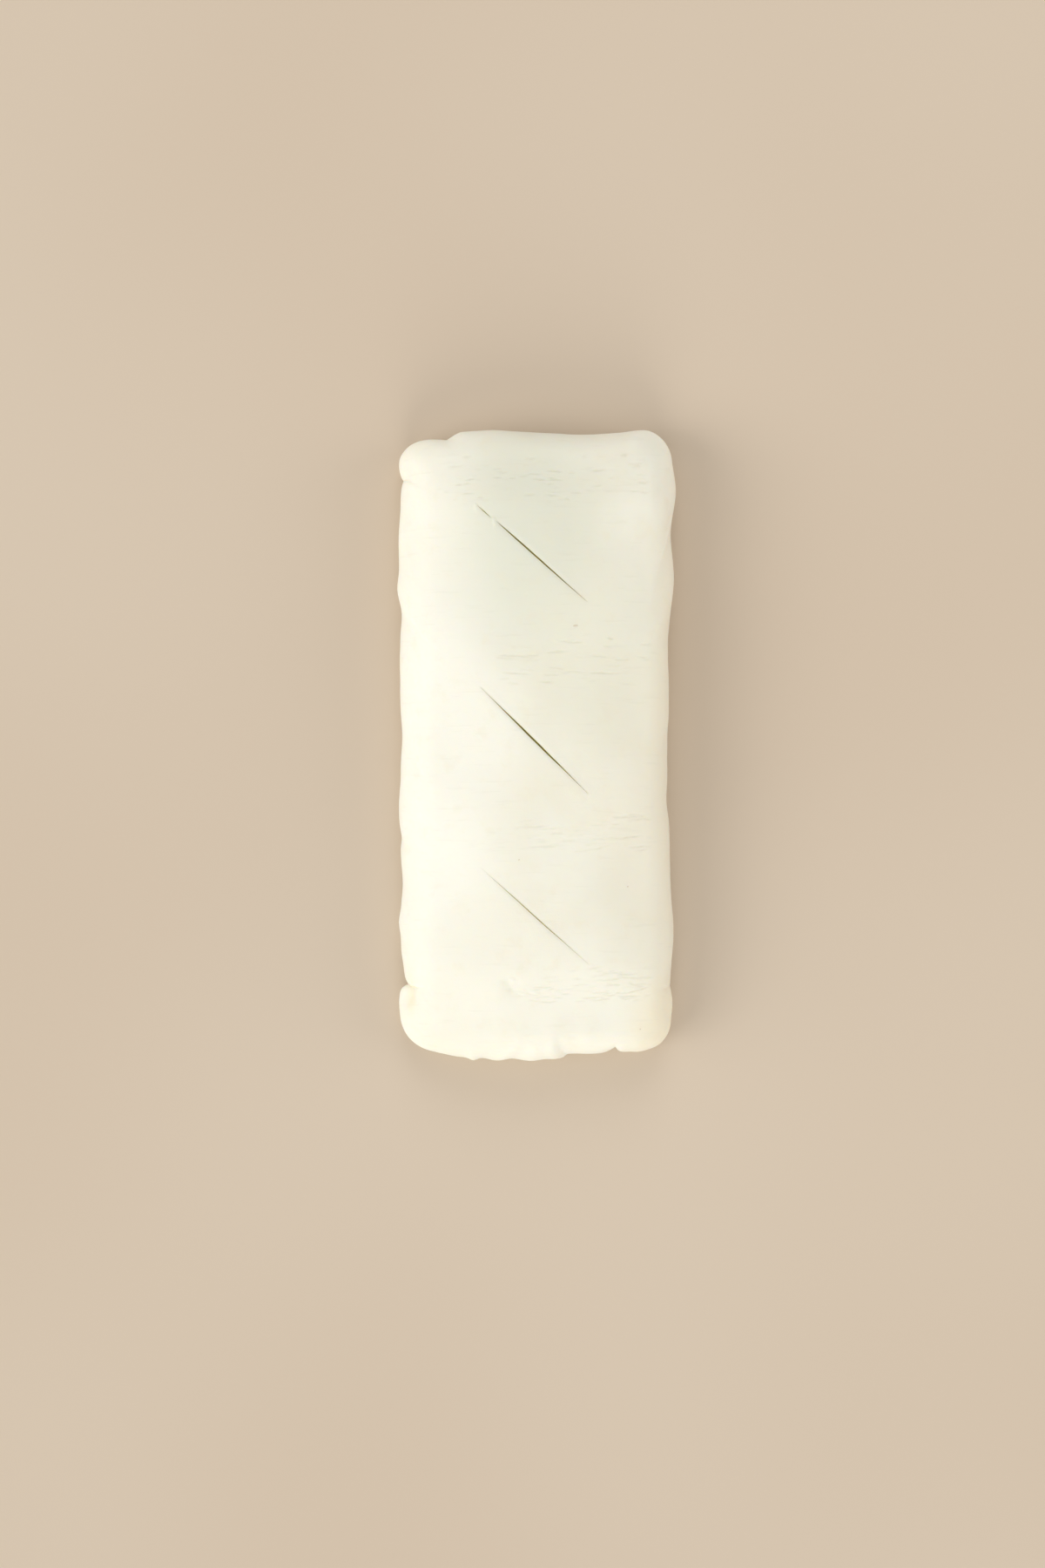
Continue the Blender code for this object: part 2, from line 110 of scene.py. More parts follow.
# The top: its crown, the lower folded ends, low swells, the folds and the dimple at the front end.
top = {
    "crownCentre": 0.007,
    "crownDrop": 0.0085,
    "crownPower": 2.2,
    "crownHalfWidth": 0.05,
    "crownAtEnds": 0.66,  # the share of the crown that is left over the folded ends
    "fullTop": 0.0275,
    "lengthDrop": 0.0026,
    "lengthCentre": 0.022,
    "halfLength": 0.1,
    "frontFold": -0.08,
    "backFold": 0.086,
    "endDrop": 0.0042,
    "endSlope": 0.031,
    "swells": (  # height, wave lengths along X and Y, phase
        (0.00035, 0.075, 0.061, 0.6),
        (0.0003, 0.052, -0.093, 2.1),
        (0.00022, -0.041, 0.047, 4.0),
    ),
    "endFolds": (-0.0132, -0.0068, 0.006, 0.0188),
    "endFoldHeight": 0.00028,
    "endFoldReach": 0.003,
    "endFoldStart": -0.094,
    "endFoldFull": -0.11,
    "dimple": (-0.009, -0.0897),
    "dimpleDepth": 0.0008,
    "dimpleReach": 0.0038,
}

# How finely the surface is divided. The rows are closer together where the dough is wrinkled.
fineness = {
    "arcSteps": 9,
    "endStations": 96,
    "sideStations": 350,
    "levels": 36,
    "notchGain": 4.0,
    "notchReach": 0.0035,
    "bandGain": 4.8,
    "bandFade": 0.004,
    "bands": ((0.0975, 0.0085), (0.03, 0.0085), (-0.033, 0.007), (-0.0885, 0.0075)),
    "samples": 2000,  # how many places the spacing of the rows is worked out from
}


def smoothStep(value):
    value = np.clip(value, 0.0, 1.0)
    return value * value * (3 - 2 * value)


def bell(distance, reach):
    return np.exp(-((distance / reach) ** 2))


def bumpSum(place, bumps):
    return sum(out * bell(place - at, reach) for at, out, reach in bumps)


def stepSum(place, steps):
    return sum(out * smoothStep((place - at) / reach + 0.5) for at, out, reach in steps)


def notchSum(place, notches):
    total = np.zeros_like(place)
    for at, depth, below, above in notches:
        reach = np.where(place > at, above, below)
        total -= depth * np.exp(-np.abs(place - at) / reach)
    return total


def onSides(normals, left, right, front, back):
    # What holds for the four sides, weighted by which way the outline faces.
    side = np.where(normals[:, 0] > 0, right, left)
    return normals[:, 0] ** 2 * side + normals[:, 1] ** 2 * np.where(normals[:, 1] > 0, back, front)


def broadRelief(points, normals, level):
    # Bulges and steps of the outline.
    lean, leanLength = parcel["foldLean"]
    leaning = lean * (level - parcel["widestLevel"])
    x, y = (points + leaning * np.sin(2 * math.pi * points / leanLength)).T
    front = bumpSum(x, parcel["frontBumps"]) + stepSum(x, parcel["frontSteps"])
    back = bumpSum(x, parcel["backBumps"]) + stepSum(x, parcel["backSteps"])
    return onSides(normals, bumpSum(y, parcel["leftBumps"]), bumpSum(y, parcel["rightBumps"]), front, back)


def sharpRelief(points, normals):
    x, y = points.T
    return onSides(normals, notchSum(y, parcel["leftNotches"]), notchSum(y, parcel["rightNotches"]),
                   notchSum(x, parcel["frontNotches"]), notchSum(x, parcel["backNotches"]))


def tuckAt(points, normals):
    step, drop = np.zeros(len(points)), np.zeros(len(points))
    for name, facing in (("left", normals[:, 0] <= 0), ("right", normals[:, 0] > 0)):
        for start, end, tuckStep, tuckDrop in tucks[name]:
            along = (points[:, 1] - start) / (end - start)
            dying = smoothStep((along - tucks["fullShare"]) / (1 - tucks["fullShare"]))
            share = smoothStep(along / tucks["onsetShare"] + 0.5) * (1 - dying)
            share = share * normals[:, 0] ** 2 * facing
            step += tuckStep * share
            drop += tuckDrop * share
    return step, drop


def topHeight(x, y):
    overEnd = smoothStep((top["frontFold"] - y) / top["endSlope"])
    overEnd = overEnd + smoothStep((y - top["backFold"]) / top["endSlope"])
    fromCrown = np.abs(x - top["crownCentre"]) / top["crownHalfWidth"]
    crownDrop = top["crownDrop"] * (1 - (1 - top["crownAtEnds"]) * overEnd)
    height = parcel["height"] - crownDrop * fromCrown ** top["crownPower"] - top["endDrop"] * overEnd
    height = height - top["lengthDrop"] * ((y - top["lengthCentre"]) / top["halfLength"]) ** 2
    for swell, alongX, alongY, phase in top["swells"]:
        height = height + swell * np.sin(2 * math.pi * (x / alongX + y / alongY) + phase)
    nearEnd = smoothStep((top["endFoldStart"] - y) / (top["endFoldStart"] - top["endFoldFull"]))
    for foldX in top["endFolds"]:
        height = height + top["endFoldHeight"] * nearEnd * bell(x - foldX, top["endFoldReach"])
    fromDimple = np.hypot(x - top["dimple"][0], y - top["dimple"][1])
    return height - top["dimpleDepth"] * bell(fromDimple, top["dimpleReach"])


def stations(count, start, end, notches, bands):
    # Shares 0 to 1 of a straight stretch, closer together at its notches and in the wrinkled bands.
    samples, fade = fineness["samples"], fineness["bandFade"]
    places = start + (end - start) * (np.arange(samples) + 0.5) / samples
    weight = np.ones_like(places)
    for notch in notches:
        weight += fineness["notchGain"] * bell(places - notch[0], fineness["notchReach"])
    for middle, half in bands:
        weight += fineness["bandGain"] * smoothStep((half + fade - np.abs(places - middle)) / fade)
    passed = np.concatenate([[0], np.cumsum(weight)]) / weight.sum()
    return np.interp(np.linspace(0, 1, count), passed, np.linspace(0, 1, samples + 1))


def cornerCircles(insets, radii):
    left, right = parcel["left"] + insets[0], parcel["right"] - insets[1]
    front, back = parcel["front"] + insets[2], parcel["back"] - insets[3]
    a, b, c, d = radii
    return (
        (np.array((left + a, front + a)), a, math.radians(225)),
        (np.array((right - b, front + b)), b, math.radians(315)),
        (np.array((right - c, back - c)), c, math.radians(45)),
        (np.array((left + d, back - d)), d, math.radians(135)),
    )


def heading(angles):
    return np.stack([np.cos(angles), np.sin(angles)], axis=-1)


def outline(insets, radii):
    # Four sides of points and normals, anticlockwise, each starting at the middle of a corner.
    circles = cornerCircles(insets, radii)
    steps, eighth = fineness["arcSteps"], math.pi / 4
    sides = []
    for index, notches in enumerate(("frontNotches", "rightNotches", "backNotches", "leftNotches")):
        axis = index % 2
        count = fineness["sideStations" if axis else "endStations"]
        bands = fineness["bands"] if axis else ()
        firstCentre, firstRadius, firstMiddle = circles[index]
        lastCentre, lastRadius, lastMiddle = circles[(index + 1) % 4]
        firstNormals = heading(firstMiddle + eighth * np.arange(steps) / steps)
        lastNormals = heading(lastMiddle + eighth * (np.arange(1, steps) / steps - 1))
        normal = heading(np.array([firstMiddle + eighth]))
        start = firstCentre + firstRadius * normal
        end = lastCentre + lastRadius * normal
        shares = stations(count, start[0, axis], end[0, axis], parcel[notches], bands)[:, None]
        points = [firstCentre + firstRadius * firstNormals, start + (end - start) * shares,
                  lastCentre + lastRadius * lastNormals]
        normals = [firstNormals, np.repeat(normal, count, axis=0), lastNormals]
        sides.append((np.concatenate(points), np.concatenate(normals)))
    return sides


def wallRing(outer, inner, normals, level):
    # Level 0 is where the side leaves the ground, level 1 the edge of the top.
    broad, sharp = broadRelief(outer, normals, level), sharpRelief(outer, normals)
    sway, swayLength = parcel["widestSway"]
    swaying = 1 + sway * np.sin(2 * math.pi * outer.sum(axis=1) / swayLength)
    followsTop = topHeight(inner[:, 0], inner[:, 1]) / top["fullTop"] - 1
    widestHeight = parcel["widestHeight"] * (1 + parcel["widestShare"] * followsTop) * swaying
    widest = parcel["widestLevel"]
    if level <= widest:
        angle = level / widest * math.pi / 2
        broad = broad * (1 - (1 - parcel["foldAtGround"]) * (1 - level / widest) ** 2)
        power = 2 / parcel["baseRoundness"]
        inset = parcel["baseTuck"] * (1 - math.sin(angle) ** power)
        height = widestHeight * (1 - max(math.cos(angle), 0.0) ** power)
        place = outer + normals * (broad + sharp - inset)[:, None]
        return np.column_stack([place, height])
    angle = (level - widest) / (1 - widest) * math.pi / 2
    power = 2 / parcel["shoulderRoundness"]
    inward, upward = 1 - max(math.cos(angle), 0.0) ** power, math.sin(angle) ** power
    step, drop = tuckAt(outer, normals)
    aboveTuck = smoothStep((level - tucks["lobeLevel"]) / (tucks["level"] - tucks["lobeLevel"]))
    backToTop = 1 - smoothStep((level - tucks["level"]) / (1 - tucks["level"]))
    relief = broad * (1 - (1 - parcel["foldAtTop"]) * inward)
    relief = relief + sharp * (1 - smoothStep((level - parcel["notchTopLevel"]) / parcel["notchFade"]))
    relief = relief - step * aboveTuck * backToTop
    place = outer + (inner - outer) * inward + normals * relief[:, None]
    rise = (topHeight(place[:, 0], place[:, 1]) - widestHeight) * upward
    crease = drop * bell(level - tucks["level"], tucks["softness"])
    return np.column_stack([place, widestHeight + rise - crease])


def sharesAlong(side, axis):
    return (side[:, axis] - side[0, axis]) / (side[-1, axis] - side[0, axis])


def blendedGrid(sides):
    # The top inside its edge, blended between the four sides of the edge, as rows of points.
    following = zip(sides, sides[1:] + sides[:1])
    front, right, back, left = (np.concatenate([side, after[:1]]) for side, after in following)
    back, left = back[::-1], left[::-1]
    columns, rows = len(front) - 1, len(right) - 1
    onFront, onBack = sharesAlong(front, 0), sharesAlong(back, 0)
    upLeft, upRight = sharesAlong(left, 1), sharesAlong(right, 1)
    column = np.linspace(0, 1, columns + 1)[None, :]
    row = np.linspace(0, 1, rows + 1)[:, None]
    up = (upLeft[:, None] + (upRight - upLeft)[:, None] * column)[..., None]
    across = (onFront[None, :] + (onBack - onFront)[None, :] * row)[..., None]
    place = front[None] * (1 - up) + back[None] * up + left[:, None] * (1 - across) + right[:, None] * across
    place -= (front[0] * (1 - across) + front[-1] * across) * (1 - up)
    place -= (back[0] * (1 - across) + back[-1] * across) * up
    return place[1:-1, 1:-1]


def parcelShell():
    # Rings up the side, a grid over the top and one flat face below.
    outer = outline((0.0,) * 4, parcel["cornerRadii"])
    inner = outline(parcel["shoulders"], (parcel["innerCorner"],) * 4)
    outerPoints = np.concatenate([points for points, _ in outer])
    innerPoints = np.concatenate([points for points, _ in inner])
    normals = np.concatenate([normal for _, normal in outer])
    levelCount = fineness["levels"]
    levels = np.linspace(0, 1, levelCount)
    rings = [wallRing(outerPoints, innerPoints, normals, level) for level in levels]
    count = len(outerPoints)
    lengths = [len(points) for points, _ in outer]
    ends = np.cumsum(lengths)
    edgeSides = np.split(rings[-1][:, :2], ends[:-1])
    grid = blendedGrid(edgeSides)
    gridRows, gridColumns = grid.shape[:2]
    heights = topHeight(grid[..., 0], grid[..., 1])
    gridPoints = np.concatenate([grid, heights[..., None]], axis=2).reshape(-1, 3)
    vertices = np.concatenate(rings + [gridPoints])

    low = np.arange(count)
    after = (low + 1) % count
    faces = []
    for ring in range(levelCount - 1):
        base = ring * count
        faces.append(np.column_stack([base + low, base + after, base + count + after, base + count + low]))
    edge = (levelCount - 1) * count
    columns, rows = lengths[0], lengths[1]
    lattice = np.empty((rows + 1, columns + 1), int)
    lattice[0] = edge + np.arange(columns + 1)
    lattice[-1] = edge + np.arange(columns + rows, 2 * columns + rows + 1)[::-1]
    lattice[1:-1, -1] = edge + columns + np.arange(1, rows)
    lattice[1:-1, 0] = edge + count - np.arange(1, rows)
    lattice[1:-1, 1:-1] = edge + count + np.arange(gridRows * gridColumns).reshape(gridRows, gridColumns)
    faces.append(np.column_stack([
        lattice[:-1, :-1].ravel(), lattice[:-1, 1:].ravel(), lattice[1:, 1:].ravel(), lattice[1:, :-1].ravel()
    ]))
    quads = np.concatenate(faces).tolist()
    mesh = bpy.data.meshes.new("pastryParcel")
    mesh.from_pydata(vertices.tolist(), [], quads + [low[::-1].tolist()])
    return mesh


# Knife slits as seen from above, with their width and depth, the share of the length where they are
# fullest and how sharply they narrow from there. The dough sinks a little towards them.
slits = {
    "cuts": (
        {"start": (-0.0218, 0.0876), "end": (-0.0164, 0.0826), "width": 0.00048, "depth": 0.0009,
         "fullest": 0.5, "peak": 1.0},
        {"start": (-0.0147, 0.0815), "end": (0.0185, 0.0518), "width": 0.00076, "depth": 0.0019,
         "fullest": 0.36, "peak": 1.0},
        {"start": (-0.0206, 0.0207), "end": (0.0188, -0.0183), "width": 0.00088, "depth": 0.0022,
         "fullest": 0.5, "peak": 1.6},
        {"start": (-0.0206, -0.0455), "end": (0.0193, -0.0812), "width": 0.00046, "depth": 0.0009,
         "fullest": 0.5, "peak": 1.5},
    ),
    "steps": 26,
    "tipShare": 0.1,
    "keelShare": 0.3,
    "clearance": 0.002,
    "wobble": 0.0001,
    "wobblePitch": 7.0,  # how much noise one cut passes through, and how far apart two cuts read it
    "wobbleGap": 3.1,
    "sinkDepth": 0.00016,
    "sinkReach": 0.00085,
    "farLip": 0.0001,  # the upper right side stands up a little past the sunk edge
    "farLipAt": 0.0016,
    "farLipReach": 0.001,
    "refineWithin": 0.0022,
    "refineAbove": 0.7,  # only the top is refined, above this share of the height
    "refineCuts": 2,
    "markAbove": 0.6,  # the finish treats points above this share of the height as cut
    "markWidth": 0.75,  # up to this many widths from the cut's line, and deeper than leastDepth
    "leastDepth": 0.0004,
    "edgeShadeReach": 0.0007,  # a darker, yellowish shade is painted on the dough this close to a cut
    "crumbs": (  # dough pushed up by the knife: (x, y, height, reach)
        (-0.0157, 0.0821, 0.00042, 0.0005), (-0.0156, 0.08105, 0.0004, 0.00055),
        (-0.0151, 0.08, 0.00028, 0.0006), (-0.0225, 0.0877, 0.0003, 0.0006),
        (-0.0223, 0.0865, 0.00026, 0.00065), (0.01945, -0.0186, 0.00012, 0.0009),
        (0.0198, -0.0816, 0.00014, 0.0009),
    ),
    "pinches": (  # small ridges and dents left by fingers, in the same form
        (-0.0115, -0.0876, -0.0004, 0.0012), (-0.009, -0.0873, 0.0005, 0.0009),
        (-0.0094, -0.0906, -0.0003, 0.0012), (-0.0052, -0.0917, 0.00032, 0.0008),
        (-0.0064, -0.0926, -0.00028, 0.0008), (-0.0012, -0.091, 0.00026, 0.0008),
        (-0.0023, -0.0922, -0.0003, 0.0008), (0.0011, -0.0915, -0.00026, 0.0007),
        (0.023, 0.056, 0.0001, 0.0035), (0.0265, 0.083, 0.00012, 0.003),
    ),
    "sharpAngle": 48,
}


def lineFrame(line):
    # A straight line's start, its run to the end, its length and the unit vector to its left.
    start = np.array(line["start"])
    run = np.array(line["end"]) - start
    length = np.linalg.norm(run)
    return start, run, length, np.array((-run[1], run[0])) / length


def alongSlit(x, y, cut):
    # The share of the cut at which a place lies, how far to its left, and the distance to the cut.
    start, _, length, across = lineFrame(cut)
    dx, dy = x - start[0], y - start[1]
    run = dx * across[1] - dy * across[0]
    aside = dx * across[0] + dy * across[1]
    beyond = run - np.clip(run, 0, length)
    return run / length, aside, np.hypot(aside, beyond)


def slitFullness(cut, share):
    # 1 where the cut is widest, falling to the tips' share.
    share = np.clip(share, 0, 1) ** (math.log(0.5) / math.log(cut["fullest"]))
    rounded = np.clip(np.sin(math.pi * share), 0, 1) ** cut["peak"]
    return slits["tipShare"] + (1 - slits["tipShare"]) * rounded


def slitSize(cut, share):
    # The cut's width against the greatest width of the long cut at the back.
    return cut["width"] / slits["cuts"][1]["width"] * slitFullness(cut, share)


def slitRelief(x, y):
    # The surface sinks towards each cut, crumbs stand up at the tips and fingers left small pinches.
    relief = np.zeros_like(x)
    for cut in slits["cuts"]:
        share, aside, distance = alongSlit(x, y, cut)
        size = slitSize(cut, share)
        relief -= slits["sinkDepth"] * size * bell(distance, slits["sinkReach"])
        lip = slits["farLip"] * size * bell(distance - slits["farLipAt"], slits["farLipReach"])
        relief += np.where(aside > 0, lip, 0.0)
    for bumpX, bumpY, height, reach in slits["crumbs"] + slits["pinches"]:
        relief += height * bell(np.hypot(x - bumpX, y - bumpY), reach)
    return relief


def vertexArray(mesh, name="co"):
    flat = np.empty(len(mesh.vertices) * 3)
    mesh.vertices.foreach_get(name, flat)
    return flat.reshape(-1, 3)


def newObject(name, data):
    obj = bpy.data.objects.new(name, data)
    bpy.context.scene.collection.objects.link(obj)
    return obj


def addAttribute(mesh, name, values):
    # A number or a vector for each point of the mesh.
    values = np.array(values, np.float32)
    kind, field = ("FLOAT", "value") if values.ndim == 1 else ("FLOAT_VECTOR", "vector")
    mesh.attributes.new(name, kind, "POINT").data.foreach_set(field, values.ravel())


def refineNearSlits(mesh):
    shape = bmesh.new()
    shape.from_mesh(mesh)
    old = len(shape.verts)
    places = vertexArray(mesh)
    near = np.zeros(len(places), bool)
    for cut in slits["cuts"]:
        near |= alongSlit(places[:, 0], places[:, 1], cut)[2] < slits["refineWithin"]
    near &= places[:, 2] > parcel["height"] * slits["refineAbove"]
    edges = [edge for edge in shape.edges if near[edge.verts[0].index] and near[edge.verts[1].index]]
    bmesh.ops.subdivide_edges(shape, edges=edges, cuts=slits["refineCuts"], use_grid_fill=True)
    shape.to_mesh(mesh)
    shape.free()
    places = vertexArray(mesh)
    places[old:, 2] = topHeight(places[old:, 0], places[old:, 1])
    mesh.vertices.foreach_set("co", places.ravel())
    mesh.update()


# Small unevenness of hand-rolled dough. A lump is (size, height on the top, height on the sides).
unevenness = {
    "lumps": ((0.016, 0.0001, 0.00022), (0.007, 0.00004, 0.0001), (0.003, 0.000012, 0.00003)),
    "topFrom": 0.55,  # a normal that points up by this much starts to count as the top
    "topFade": 0.35,
    "groundFade": 0.004,  # the lumps fade out over this height above the ground
}


def roughen(mesh):
    places, normals = vertexArray(mesh), vertexArray(mesh, "normal")
    onTop = smoothStep((normals[:, 2] - unevenness["topFrom"]) / unevenness["topFade"])
    offGround = smoothStep(places[:, 2] / unevenness["groundFade"])
    moved = np.zeros(len(places))
    for size, topAmount, sideAmount in unevenness["lumps"]:
        wave = np.array([noise.noise(Vector(place) / size) for place in places])
        moved += wave * (topAmount * onTop + sideAmount * (1 - onTop))
    besideCuts = slitRelief(places[:, 0], places[:, 1]) * onTop
    places += normals * (moved * offGround)[:, None]
    places[:, 2] += besideCuts
    mesh.vertices.foreach_set("co", places.ravel())
    mesh.update()


# Hairline wrinkles in the dough's skin. The named ones are (x from, x to, y, rise to the right), the
# creases are lines of (x, y) places, and each band adds random lines:
# (y, half height, x from, x to, how many, rise to the right, shortest, longest).
hairlines = {
    "seed": 31,
    "named": (
        (-0.0334, -0.0266, 0.1026, 0.0), (-0.0266, -0.0222, 0.0975, 0.0006),
        (-0.0302, -0.0276, 0.0956, 0.0001), (-0.0286, -0.0226, 0.0921, 0.0),
        (-0.0276, -0.0236, 0.1062, 0.0002), (-0.016, -0.013, 0.0979, -0.0003),
        (-0.01, -0.0078, 0.0978, 0.0002), (-0.0064, -0.0034, 0.0984, 0.0003),
        (-0.0034, 0.002, 0.0993, 0.0001), (-0.0004, 0.0037, 0.097, -0.0003),
        (-0.0039, -0.0008, 0.0913, 0.0), (0.0027, 0.0087, 0.091, -0.0005),
        (0.0037, 0.0097, 0.1002, -0.0006), (0.0037, 0.0097, 0.0969, -0.0003),
        (0.01, 0.0124, 0.0896, 0.0), (0.0203, 0.0259, 0.1007, 0.0003),
        (0.0309, 0.034, 0.1064, 0.0002), (0.0329, 0.04, 0.1039, 0.0003),
        (0.035, 0.039, 0.1024, 0.0005), (0.037, 0.042, 0.0964, 0.0003),
        (0.038, 0.0434, 0.0364, 0.0), (0.0258, 0.0284, 0.0386, -0.0004),
        (-0.0154, -0.0004, 0.0318, -0.0008), (0.0188, 0.0294, 0.0258, -0.0003),
        (0.0006, 0.007, 0.0226, 0.0),
    ),
    "creases": (
        ((0.0252, -0.0279), (0.0312, -0.0272), (0.0372, -0.0268), (0.0434, -0.0257)),
        ((-0.0026, -0.0315), (0.0046, -0.0312), (0.0118, -0.0305)),
        ((-0.0078, -0.0388), (-0.001, -0.0379), (0.0056, -0.0377), (0.0124, -0.0371)),
        ((0.0326, -0.0383), (0.0385, -0.0378), (0.0444, -0.0377)),
        ((0.0292, -0.0925), (0.0354, -0.0915), (0.0399, -0.0904), (0.0436, -0.0881), (0.0467, -0.0862),
         (0.0489, -0.0834)),
        ((0.0179, -0.0875), (0.0229, -0.0873), (0.0292, -0.0868), (0.0317, -0.0859), (0.0354, -0.0862),
         (0.0392, -0.0864), (0.0417, -0.0856), (0.0448, -0.0843)),
        ((0.0336, -0.0875), (0.0354, -0.0887), (0.0379, -0.0894), (0.0405, -0.0904)),
        ((0.0179, -0.0904), (0.021, -0.0919), (0.0254, -0.0916), (0.0292, -0.0922)),
        ((0.0236, -0.0931), (0.0254, -0.0944), (0.0273, -0.0939)),
        ((0.0129, -0.0859), (0.0154, -0.0868), (0.0167, -0.0862)),
        ((0.0192, -0.0822), (0.0242, -0.084), (0.0292, -0.0843), (0.0354, -0.084)),
        ((-0.0084, -0.0908), (-0.0047, -0.0919), (-0.0021, -0.0922)),
        ((-0.0028, -0.0906), (-0.0002, -0.09), (0.0029, -0.089), (0.0054, -0.089)),
        ((0.0073, -0.0912), (0.0104, -0.0922), (0.0129, -0.0919)),
        ((-0.0021, -0.0947), (0.0041, -0.0953), (0.0091, -0.0947)),
    ),
    "bands": (
        (0.0965, 0.009, -0.037, 0.018, 44, 0.0, 0.0016, 0.0052),
        (0.1, 0.008, 0.013, 0.043, 18, 0.0002, 0.002, 0.007),
        (0.03, 0.0085, -0.018, 0.045, 38, -0.0002, 0.003, 0.011),
        (-0.033, 0.007, -0.01, 0.046, 34, 0.0003, 0.003, 0.012),
        (-0.0885, 0.0065, -0.004, 0.046, 52, 0.0004, 0.002, 0.008),
    ),
    "spacing": 0.0008,
    "bow": 0.03,  # how far a line bows, as a share of its length
    "tiltSpread": 0.0004,  # how much the rise varies, over tiltLength of a line
    "tiltLength": 0.006,
    "namedLift": (0.00002, 0.00014),
    "creaseLift": (0.00014, 0.00032),
    "bandLift": (0.00016, 0.0004),  # a line that starts above the dough marks it more faintly
    "endLift": 0.0005,
    "endPower": 3,
    "liftWave": (0.00008, 0.0035),  # how much a line fades in and out, and over what length
    "unevenness": 0.00009,
    "depth": 0.00026,
    "halfWidth": 0.00029,
    "lip": 0.00004,
    "lipPlace": 2.0,  # where the lip stands, in half widths, and how narrow it is
    "lipNarrowness": 1.4,
}


def straightGuide(draw, start, end, y, rise):
    # A line that bows by a hair between its ends.
    share = np.linspace(0, 1, 2 + math.ceil((end - start) / hairlines["spacing"]))
    bow = draw.gauss(0, hairlines["bow"]) * (end - start)
    x = start + (end - start) * share
    return np.column_stack([x, y + rise * (share - 0.5) + bow * np.sin(math.pi * share)])


def creaseGuide(places):
    places = np.array(places)
    run = np.concatenate([[0], np.cumsum(np.linalg.norm(np.diff(places, axis=0), axis=1))])
    along = np.linspace(0, run[-1], 2 + math.ceil(run[-1] / hairlines["spacing"]))
    return np.column_stack([np.interp(along, run, places[:, 0]), np.interp(along, run, places[:, 1])])


def hairlineLines(draw):
    # The named lines, the creases and the random lines of each band, with how high each one lies.
    namedLift, creaseLift, bandLift = (hairlines[name] for name in ("namedLift", "creaseLift", "bandLift"))
    lines = [(straightGuide(draw, *line), draw.uniform(*namedLift)) for line in hairlines["named"]]
    lines += [(creaseGuide(places), draw.uniform(*creaseLift)) for places in hairlines["creases"]]
    for middle, half, left, right, count, rise, shortest, longest in hairlines["bands"]:
        for _ in range(count):
            length = draw.uniform(shortest, longest)
            start = draw.uniform(left, right - length)
            y = middle + half * draw.uniform(-1, 1)
            tilt = (rise + draw.gauss(0, hairlines["tiltSpread"])) * length / hairlines["tiltLength"]
            lift = draw.uniform(*bandLift)
            lines.append((straightGuide(draw, start, start + length, y, tilt), lift))
    return lines


def hairlineGuides():
    # Each line rises out of the dough at its ends, so that it fades there.
    draw = random.Random(hairlines["seed"])
    wave, waveLength = hairlines["liftWave"]
    vertices, edges = [], []
    for line, lift in hairlineLines(draw):
        x = line[:, 0]
        y = line[:, 1] + [draw.gauss(0, hairlines["unevenness"]) for _ in line]
        lift = lift + wave * np.sin(2 * math.pi * (x / waveLength + draw.random()))
        lift = lift + hairlines["endLift"] * np.abs(np.linspace(-1, 1, len(line))) ** hairlines["endPower"]
        edges += [(len(vertices) + step, len(vertices) + step + 1) for step in range(len(line) - 1)]
        vertices += np.column_stack([x, y, topHeight(x, y) + slitRelief(x, y) + lift]).tolist()
    mesh = bpy.data.meshes.new("hairlineGuides")
    mesh.from_pydata(vertices, edges, [])
    return newObject("hairlineGuides", mesh)


def addNode(tree, kind, **settings):
    node = tree.nodes.new(kind)
    for name, value in settings.items():
        setattr(node, name, value)
    return node


def feed(socket, value):
    if isinstance(value, bpy.types.NodeSocket):
        socket.id_data.links.new(value, socket)
    else:
        socket.default_value = value


def feedAll(node, values):
    for name, value in values.items():
        feed(node.inputs[name], value)


def mathNode(tree, operation, *values):
    node = addNode(tree, "ShaderNodeMath", operation=operation)
    for socket, value in zip(node.inputs, values):
        feed(socket, value)
    return node.outputs[0]


def bellNode(tree, value, narrowness):
    squared = mathNode(tree, "POWER", value, 2.0)
    return mathNode(tree, "EXPONENT", mathNode(tree, "MULTIPLY", squared, -narrowness))


def newGeometryTree(name, inputs):
    tree = bpy.data.node_groups.new(name, "GeometryNodeTree")
    tree.interface.new_socket(name="Geometry", in_out="INPUT", socket_type="NodeSocketGeometry")
    for socketName, kind in inputs.items():
        tree.interface.new_socket(name=socketName, in_out="INPUT", socket_type="NodeSocket" + kind)
    tree.interface.new_socket(name="Geometry", in_out="OUTPUT", socket_type="NodeSocketGeometry")
    return tree, addNode(tree, "NodeGroupInput"), addNode(tree, "NodeGroupOutput")


def finishTree(tree, start, end, geometry):
    # Every tree ends in real geometry with its material set.
    realized = addNode(tree, "GeometryNodeRealizeInstances")
    painted = addNode(tree, "GeometryNodeSetMaterial")
    feed(realized.inputs["Geometry"], geometry)
    feedAll(painted, {"Geometry": realized.outputs[0], "Material": start.outputs["Finish"]})
    feed(end.inputs[0], painted.outputs[0])


